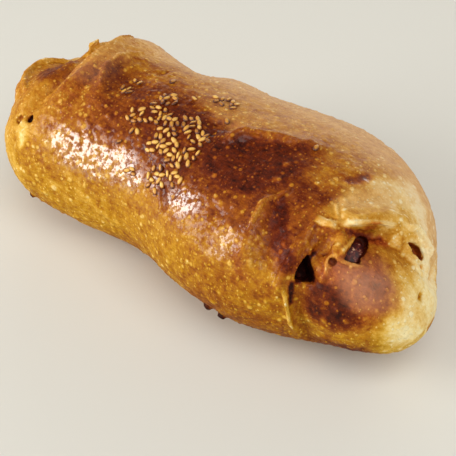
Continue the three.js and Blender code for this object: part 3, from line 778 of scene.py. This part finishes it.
# Cloudy grains of one size, which the crust, the meat and the seeds all have.
speckles = bpy.data.node_groups.new("speckles", "ShaderNodeTree")
for name, value in (("Size in mm", 2.0), ("Detail", 3.0), ("Roughness", 0.6), ("Drawn Out", 1.0)):
    socket = speckles.interface.new_socket(name=name, in_out="INPUT", socket_type="NodeSocketFloat")
    socket.default_value = value
speckles.interface.new_socket(name="Speckle", in_out="OUTPUT", socket_type="NodeSocketFloat")
nodes, links = speckles.nodes, speckles.links
given = nodes.new("NodeGroupInput")
result = nodes.new("NodeGroupOutput")
place = nodes.new("ShaderNodeTexCoord")
squeezed = nodes.new("ShaderNodeCombineXYZ")
links.new(worked_out(nodes, links, "DIVIDE", 1, given.outputs["Drawn Out"]), squeezed.inputs["X"])
squeezed.inputs["Y"].default_value = 1
squeezed.inputs["Z"].default_value = 1
drawn = nodes.new("ShaderNodeVectorMath")
drawn.operation = "MULTIPLY"
links.new(place.outputs["Object"], drawn.inputs[0])
links.new(squeezed.outputs["Vector"], drawn.inputs[1])
cloud = nodes.new("ShaderNodeTexNoise")
links.new(drawn.outputs["Vector"], cloud.inputs["Vector"])
links.new(worked_out(nodes, links, "DIVIDE", 1 / MM, given.outputs["Size in mm"]), cloud.inputs["Scale"])
links.new(given.outputs["Detail"], cloud.inputs["Detail"])
links.new(given.outputs["Roughness"], cloud.inputs["Roughness"])
links.new(cloud.outputs["Fac"], result.inputs["Speckle"])


def speckle(nodes, size_mm, detail, roughness=0.6, drawn_out=1.0):
    """Places the speckles in a material, with its own values."""
    placed = nodes.new("ShaderNodeGroup")
    placed.node_tree = speckles
    placed.inputs["Size in mm"].default_value = size_mm
    placed.inputs["Detail"].default_value = detail
    placed.inputs["Roughness"].default_value = roughness
    placed.inputs["Drawn Out"].default_value = drawn_out
    return placed.outputs["Speckle"]


def shade_of(nodes, name):
    """A value that save_shade kept."""
    shade = nodes.new("ShaderNodeAttribute")
    shade.attribute_name = name
    return shade.outputs["Fac"]


def colours_along(nodes, links, value, stops):
    """A colour for each value, through stops of (value, colour)."""
    colours = nodes.new("ShaderNodeValToRGB")
    for k, (position, colour) in enumerate(stops):
        stop = colours.color_ramp.elements[k] if k < 2 else colours.color_ramp.elements.new(position)
        stop.position = position
        stop.color = colour
    links.new(value, colours.inputs["Fac"])
    return colours.outputs["Color"]


def moved(nodes, links, value, kind="LINEAR", **limits):
    """A value moved from one range to another. A range without limits goes from 0 to 1."""
    scale = nodes.new("ShaderNodeMapRange")
    scale.interpolation_type = kind
    for name, limit in limits.items():
        scale.inputs[name.replace("_", " ")].default_value = limit
    links.new(value, scale.inputs["Value"])
    return scale.outputs["Result"]


def bubbles(nodes, links, apart_mm, small, large, narrow=1.0):
    """Fine bubbles in the crust: 1 in the middle of each, 0 between them."""
    place = nodes.new("ShaderNodeTexCoord")
    stretched = nodes.new("ShaderNodeMapping")
    stretched.inputs["Scale"].default_value = (narrow, 1, 1)
    links.new(place.outputs["Object"], stretched.inputs["Vector"])
    cells = nodes.new("ShaderNodeTexVoronoi")
    cells.inputs["Scale"].default_value = 1 / (apart_mm * MM)
    links.new(stretched.outputs["Vector"], cells.inputs["Vector"])
    reach = moved(nodes, links, cells.outputs["Color"], To_Min=small, To_Max=large)
    reach = worked_out(nodes, links, "MAXIMUM", reach, 0.01)
    share = worked_out(nodes, links, "DIVIDE", cells.outputs["Distance"], reach)
    return moved(nodes, links, share, "SMOOTHSTEP", From_Min=1, From_Max=0.4)


def added_to(nodes, links, value, effects):
    """A value with each effect added to it, times its strength."""
    for effect, strength in effects:
        value = worked_out(nodes, links, "MULTIPLY_ADD", effect, strength, value)
    return value


def roughen(nodes, links, shader, height, strength, distance_mm):
    """Lets the light see a height that the mesh doesn't have."""
    bump = nodes.new("ShaderNodeBump")
    bump.inputs["Strength"].default_value = strength
    bump.inputs["Distance"].default_value = distance_mm * MM
    links.new(height, bump.inputs["Height"])
    links.new(bump.outputs["Normal"], shader.inputs["Normal"])


baked, nodes, links, shader = new_material(
    "baked crust", Coat_Roughness=0.1, Coat_IOR=2.0, Specular_IOR_Level=0.1)
# Bubbles of three sizes: how far apart in mm, the smallest and largest radius as a share of that,
# and how far each is pressed together along the roll.
coarse_bubbles = bubbles(nodes, links, 2.8, -0.12, 0.52, 1.0)
fine_bubbles = bubbles(nodes, links, 1.6, 0.0, 0.46, 1.3)
tiny_bubbles = bubbles(nodes, links, 1.05, 0.1, 0.5, 1.2)
mottle = speckle(nodes, 4.5, 4, 0.65)
grain = speckle(nodes, 1.5, 3)
fibre = speckle(nodes, 0.7, 2, 0.6, 5)
# The grains count both ways, so half of their strength comes off again. Bubbles only pale the crust,
# so it is browned a little all over.
MOTTLED, GRAINY, FIBROUS, BROWNED = 0.5, 0.34, 0.2, 0.07
shade = added_to(nodes, links, shade_of(nodes, "browning_and_shade"), [
    (mottle, MOTTLED), (grain, GRAINY), (fibre, FIBROUS), (coarse_bubbles, -0.23),
    (fine_bubbles, -0.2), (tiny_bubbles, -0.05), (shade_of(nodes, "dome"), -0.16)])
shade = worked_out(nodes, links, "ADD", shade, BROWNED - (MOTTLED + GRAINY + FIBROUS) / 2)
golden = colours_along(nodes, links, shade, [
    (0.00, paint(240, 224, 172)), (0.16, paint(231, 205, 136)), (0.34, paint(210, 168, 66)),
    (0.50, paint(180, 132, 16)), (0.66, paint(142, 82, 4)), (0.82, paint(98, 38, 2)),
    (1.00, paint(44, 12, 4))])
ruddy = colours_along(nodes, links, shade, [
    (0.00, paint(242, 224, 186)), (0.16, paint(228, 184, 124)), (0.34, paint(208, 140, 70)),
    (0.50, paint(182, 102, 38)), (0.66, paint(146, 62, 18)), (0.82, paint(98, 30, 8)),
    (1.00, paint(46, 10, 5))])


def blend_of(nodes, links, share, first, second):
    """One colour that turns into another as a share goes from 0 to 1."""
    mix = nodes.new("ShaderNodeMix")
    mix.data_type = "RGBA"
    links.new(share, mix.inputs["Factor"])
    for socket, colour in (("A", first), ("B", second)):
        if isinstance(colour, list):
            mix.inputs[socket].default_value = colour
        else:
            links.new(colour, mix.inputs[socket])
    return mix.outputs["Result"]


tint = blend_of(nodes, links, shade_of(nodes, "redness"), golden, ruddy)
# The painted sheen mixes a pale pinkish tan into the colour.
tint = blend_of(nodes, links, shade_of(nodes, "painted_sheen"), tint, paint(216, 178, 146))
links.new(tint, shader.inputs["Base Color"])

# The egg wash dried in a broken film: it shines in small flecks, with pits between them.
THINNEST_FILM = 0.08
ROUGH_DRY, ROUGH_WET, ROUGH_GRAIN = 0.62, 0.3, 0.2
shine = shade_of(nodes, "shine")
flecks = moved(nodes, links, speckle(nodes, 1.3, 3, 0.7), "SMOOTHSTEP", From_Min=0.44, From_Max=0.53)
film = worked_out(nodes, links, "SUBTRACT", 1, coarse_bubbles)
film = worked_out(nodes, links, "MULTIPLY", film, flecks)
film = worked_out(nodes, links, "MULTIPLY_ADD", film, 1 - THINNEST_FILM, THINNEST_FILM)
links.new(worked_out(nodes, links, "MULTIPLY", shine, film), shader.inputs["Coat Weight"])
rough = moved(nodes, links, shine, To_Min=ROUGH_DRY, To_Max=ROUGH_WET)
rough = worked_out(nodes, links, "MULTIPLY_ADD", grain, ROUGH_GRAIN, rough)
links.new(worked_out(nodes, links, "SUBTRACT", rough, ROUGH_GRAIN / 2), shader.inputs["Roughness"])
height = worked_out(nodes, links, "MULTIPLY", fine_bubbles, 0.6)
height = added_to(nodes, links, height, [
    (coarse_bubbles, 0.9), (tiny_bubbles, 0.3), (grain, 0.6), (fibre, 0.3)])
roughen(nodes, links, shader, height, 0.8, 0.35)
crust.data.materials.clear()
crust.data.materials.append(baked)
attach(crust, "root")
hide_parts("dough")

# ---- The sausage --------------------------------------------------------------------------
# A dark red, moist sausage that runs through the roll, with a lump that reaches up to each gap.
# Its cut surface shows pale specks of fat.

FILLING_FROM, FILLING_TO, FILLING_RADIUS, FILLING_ASIDE, FILLING_HEIGHT = -74, 74, 15.5, -7.2, 28
FILLING_BLUNTNESS = 3.2
MEAT_CELL, MEAT_WAVES, MEAT_WAVE_SIZE = 0.9, 0.35, 3
# The lump under each gap: (how far its top lies under the crust, radius).
CHUNKS = {"left": (12, 8.5), "middle": (4.8, 8), "right": (5, 6), "far spot": (2.6, 10)}
sausage, tall, turn = new_ball("sausage", 6)
t = np.sin(math.pi / 2 * tall)
along = (FILLING_FROM + FILLING_TO) / 2 + t * (FILLING_TO - FILLING_FROM) / 2
size = FILLING_RADIUS * np.sqrt(np.maximum(0, 1 - np.abs(t) ** FILLING_BLUNTNESS))
angle = np.radians(turn)
set_vertices(sausage, np.stack([along, FILLING_ASIDE - size * np.cos(angle),
                                FILLING_HEIGHT + size * np.sin(angle)], -1))
for name, (deep, radius) in CHUNKS.items():
    outline = np.array(GAPS[name][-1], float)
    centre = skin(*outline.T).mean(0)
    out = outward(*outline.mean(0))
    lump, tall, turn = new_ball("lump", 4)
    set_vertices(lump, centre - out * (deep + radius) + vertices_of(lump) * radius)
    apply_modifier(sausage, "BOOLEAN", object=lump, operation="UNION", solver="MANIFOLD")
    bpy.data.meshes.remove(lump.data)
apply_modifier(sausage, "REMESH", mode="VOXEL", voxel_size=MEAT_CELL * MM)
points = vertices_of(sausage)
sunk = MEAT_WAVES * (1 - wavering(points, MEAT_WAVE_SIZE))
set_vertices(sausage, points - normals_of(sausage) * sunk[:, None])
sausage.data.shade_smooth()

meat, nodes, links, shader = new_material(
    "sausage meat", Coat_Weight=0.04, Coat_Roughness=0.12, Roughness=0.55)
flesh = speckle(nodes, 1.2, 3)
links.new(colours_along(nodes, links, flesh, [
    (0.35, paint(40, 6, 6)), (0.52, paint(84, 16, 12)), (0.62, paint(130, 48, 32)),
    (0.68, paint(220, 180, 140))]), shader.inputs["Base Color"])
roughen(nodes, links, shader, flesh, 0.6, 0.4)
sausage.data.materials.clear()
sausage.data.materials.append(meat)
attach(sausage, "root")
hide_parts("filling")

# ---- Sesame seeds -------------------------------------------------------------------------
# Whole sesame seeds thrown on the wet egg wash and toasted with the crust: flat drops, 3 mm long,
# that lie every way round, thickest in one cluster on the front of the top.

SEED_LENGTH, SEED_WIDTH, SEED_THICK, SEED_TAPER, SEEDS_APART = 2.95, 1.6, 0.95, 0.36, 1.85
# A seed's middle lies a little over the crust, and it leans a little over its side and its tip.
# Sizes differ, and each is toasted more or less. Each is darkest at its rim, where painted shade
# outlines it against the crust.
SEED_LIES, SEED_ROLL, SEED_PITCH = 0.25, 0.9, 0.4
SEED_SMALLEST, SEED_SPREAD = 0.88, 0.24
TOAST, RIM_SHADE, RIM_FROM = 0.6, 0.75, 0.7
# Patches of seeds: (how many, middle, reach along, reach round in mm).
SEED_PATCHES = [
    (9, (-15, 77), 3.4, 3), (8, (-15, 70), 3.4, 3), (8, (-20, 58), 4.6, 4.5), (13, (-10, 63), 6, 3.6),
    (11, (-1, 70), 5, 3.4), (17, (-4, 54), 6, 4.4), (10, (4, 66), 5, 3.2), (6, (7, 57), 3.6, 4),
    (7, (3, 49), 3.6, 3.4), (10, (-1, 33), 4, 5), (7, (6, 41), 3.6, 3), (3, (-13, 28), 2.4, 2),
    (4, (-8, 47), 2.4, 3), (9, (2, 93), 5.5, 2.4), (4, (-32, 74), 2.6, 1.6), (2, (-31, 83), 2.5, 0.8),
    (1, (-21, 91), 0.3, 0.3), (1, (-8, 85), 0.3, 0.3), (1, (8, 83), 0.3, 0.3), (2, (-17, 50), 1.6, 1.2),
    (1, (-21, 41), 0.3, 0.3), (1, (40, 91), 0.5, 0.5),
]
# Each seed gets so many throws to find room, and drops onto the crust from this height.
THROWS, DROPPED_FROM = 60, 8
FIRST_RANDOM, MULTIPLIER, MODULUS = 20241, 48271, 2 ** 31 - 1


def thrown():
    """Random numbers between 0 and 1, always the same."""
    state = FIRST_RANDOM
    while True:
        state = state * MULTIPLIER % MODULUS
        yield state / MODULUS


random = thrown()
under = BVHTree.FromPolygons([v.co.copy() for v in crust.data.vertices],
                             [tuple(face.vertices) for face in crust.data.polygons])
seed_points, seed_faces, seed_shades, taken = [], [], [], []
model, tall, turn = new_ball("seed", 2)
shape = vertices_of(model)
shape[:, 0] *= 1 - SEED_TAPER * shape[:, 1]
shape *= np.array([SEED_WIDTH, SEED_LENGTH, SEED_THICK]) / 2
# The rim's darkening is painted shade round the edge of each seed.
rim = ramp(np.hypot(*(shape[:, :2] / (SEED_WIDTH / 2, SEED_LENGTH / 2)).T), RIM_FROM, 1)
faces = [tuple(face.vertices) for face in model.data.polygons]
bpy.data.meshes.remove(model.data)
for count, middle, reach_along, reach_round in SEED_PATCHES:
    kept = 0
    for _ in range(THROWS * count):
        if kept == count:
            break
        distance = math.sqrt(next(random))
        bearing = 2 * math.pi * next(random)
        heading = math.pi * next(random)
        place = (middle[0] + reach_along * distance * math.cos(bearing),
                 middle[1] + reach_round * distance * math.sin(bearing) / math.radians(BODY_RADIUS))
        start = skin(*place)
        if any(np.linalg.norm(start - other) < SEEDS_APART for other in taken):
            continue
        taken.append(start)
        kept += 1
        out = Vector(outward(*place))
        hit = under.ray_cast(Vector(start * MM) + out * DROPPED_FROM * MM, -out)[0]
        ahead = Matrix.Rotation(heading, 3, out) @ Vector((1, 0, 0))
        right = ahead.cross(out).normalized()
        up = out + right * (next(random) - 0.5) * SEED_ROLL
        up = (up + ahead * (next(random) - 0.5) * SEED_PITCH).normalized()
        ahead = ahead.cross(up).cross(up).normalized() * -1
        turned = np.array([ahead.cross(up), ahead, up]).T
        turned = turned * (SEED_SMALLEST + SEED_SPREAD * next(random))
        seed_faces += [tuple(i + len(seed_points) * len(shape) for i in face) for face in faces]
        seed_points.append(shape @ turned.T * MM + np.array(hit + out * SEED_LIES * MM))
        seed_shades.append(next(random) * TOAST + RIM_SHADE * rim)
mesh = bpy.data.meshes.new("sesame_seeds")
mesh.from_pydata(np.concatenate(seed_points).tolist(), [], seed_faces)
seeds = bpy.data.objects.new("sesame_seeds", mesh)
bpy.context.scene.collection.objects.link(seeds)
mesh.shade_smooth()
save_shade(seeds, "toast_and_rim_shade", np.concatenate(seed_shades))

hull, nodes, links, shader = new_material(
    "toasted sesame", Coat_Weight=0.1, Coat_Roughness=0.3, Roughness=0.5)
toast_and_rim_shade = added_to(nodes, links, shade_of(nodes, "toast_and_rim_shade"), [(speckle(nodes, 1.2, 2), 0.5)])
toast_and_rim_shade = worked_out(nodes, links, "SUBTRACT", toast_and_rim_shade, 0.25)
links.new(colours_along(nodes, links, toast_and_rim_shade, [
    (0.0, paint(228, 186, 96)), (0.4, paint(204, 146, 50)), (0.7, paint(146, 80, 18)),
    (1.0, paint(84, 38, 10))]), shader.inputs["Base Color"])
mesh.materials.append(hull)
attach(seeds, "root")
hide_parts("dough")

# ---- The studio ---------------------------------------------------------------------------
# A pale floor that the roll lies on, and soft daylight: a window low on the left, a lit ceiling
# and a bright wall behind.

bpy.ops.object.select_all(action="DESELECT")
bpy.ops.mesh.primitive_plane_add(size=6)
floor = bpy.context.active_object
floor.name = "floor"
pale = new_material("pale floor", Roughness=0.7, Base_Color=paint(220, 219, 212))[0]
floor.data.materials.append(pale)

# The camera looks at a point inside the roll, from where the photograph was taken.
TARGET = Vector((17.4, -16.1, 25)) * MM
CAMERA_AZIMUTH, CAMERA_ELEVATION, CAMERA_DISTANCE = math.radians(39), math.radians(37.5), 0.35
PICTURE_PIXELS, FOCAL_PIXELS, SENSOR_WIDTH = 456, 1035, 36


def towards(azimuth, elevation):
    """The direction from the roll to something that stands round it, azimuth from the front."""
    level = math.cos(elevation)
    return Vector((math.sin(azimuth) * level, -math.cos(azimuth) * level, math.sin(elevation)))


def new_light(name, azimuth, elevation, distance, width, height, watts, colour):
    """A flat light that faces the roll, its place in degrees and metres."""
    lamp = bpy.data.lights.new(name, "AREA")
    lamp.shape = "RECTANGLE"
    lamp.size, lamp.size_y = width, height
    lamp.energy = watts
    lamp.color = colour
    holder = bpy.data.objects.new(name, lamp)
    bpy.context.scene.collection.objects.link(holder)
    back = towards(math.radians(azimuth), math.radians(elevation))
    holder.location = TARGET + back * distance
    holder.rotation_euler = back.to_track_quat("Z", "Y").to_euler()


new_light("window", -42, 19, 1.0, 0.64, 0.6, 9.0, (1.0, 0.97, 0.92))
new_light("ceiling", 62, 55, 1.2, 1.1, 1.1, 10.0, (1.0, 0.98, 0.94))
new_light("far wall", -155, 14, 1.4, 1.5, 0.6, 8.0, (1.0, 0.96, 0.88))

# The room is bright and warm at eye level, and dims towards the ceiling.
world = bpy.data.worlds.new("room")
bpy.context.scene.world = world
world.use_nodes = True
nodes, links = world.node_tree.nodes, world.node_tree.links
coordinates = nodes.new("ShaderNodeTexCoord")
upwards = nodes.new("ShaderNodeSeparateXYZ")
links.new(coordinates.outputs["Generated"], upwards.inputs["Vector"])
links.new(colours_along(nodes, links, upwards.outputs["Z"], [
    (0.0, (0.90, 0.85, 0.76, 1)), (0.25, (0.70, 0.66, 0.60, 1)), (0.5, (0.32, 0.31, 0.29, 1)),
    (0.7, (0.15, 0.15, 0.15, 1))]),
    nodes["Background"].inputs["Color"])
bpy.context.scene.view_settings.view_transform = "Standard"

lens = bpy.data.cameras.new("camera")
lens.lens = FOCAL_PIXELS / PICTURE_PIXELS * SENSOR_WIDTH
lens.sensor_width = SENSOR_WIDTH
lens.clip_start = 0.01
camera = bpy.data.objects.new("camera", lens)
bpy.context.scene.collection.objects.link(camera)
back = towards(CAMERA_AZIMUTH, CAMERA_ELEVATION)
right = Vector((math.cos(CAMERA_AZIMUTH), math.sin(CAMERA_AZIMUTH), 0))
turned = Matrix((right, back.cross(right), back)).transposed().to_4x4()
camera.matrix_world = Matrix.Translation(TARGET + back * CAMERA_DISTANCE) @ turned
bpy.context.scene.camera = camera
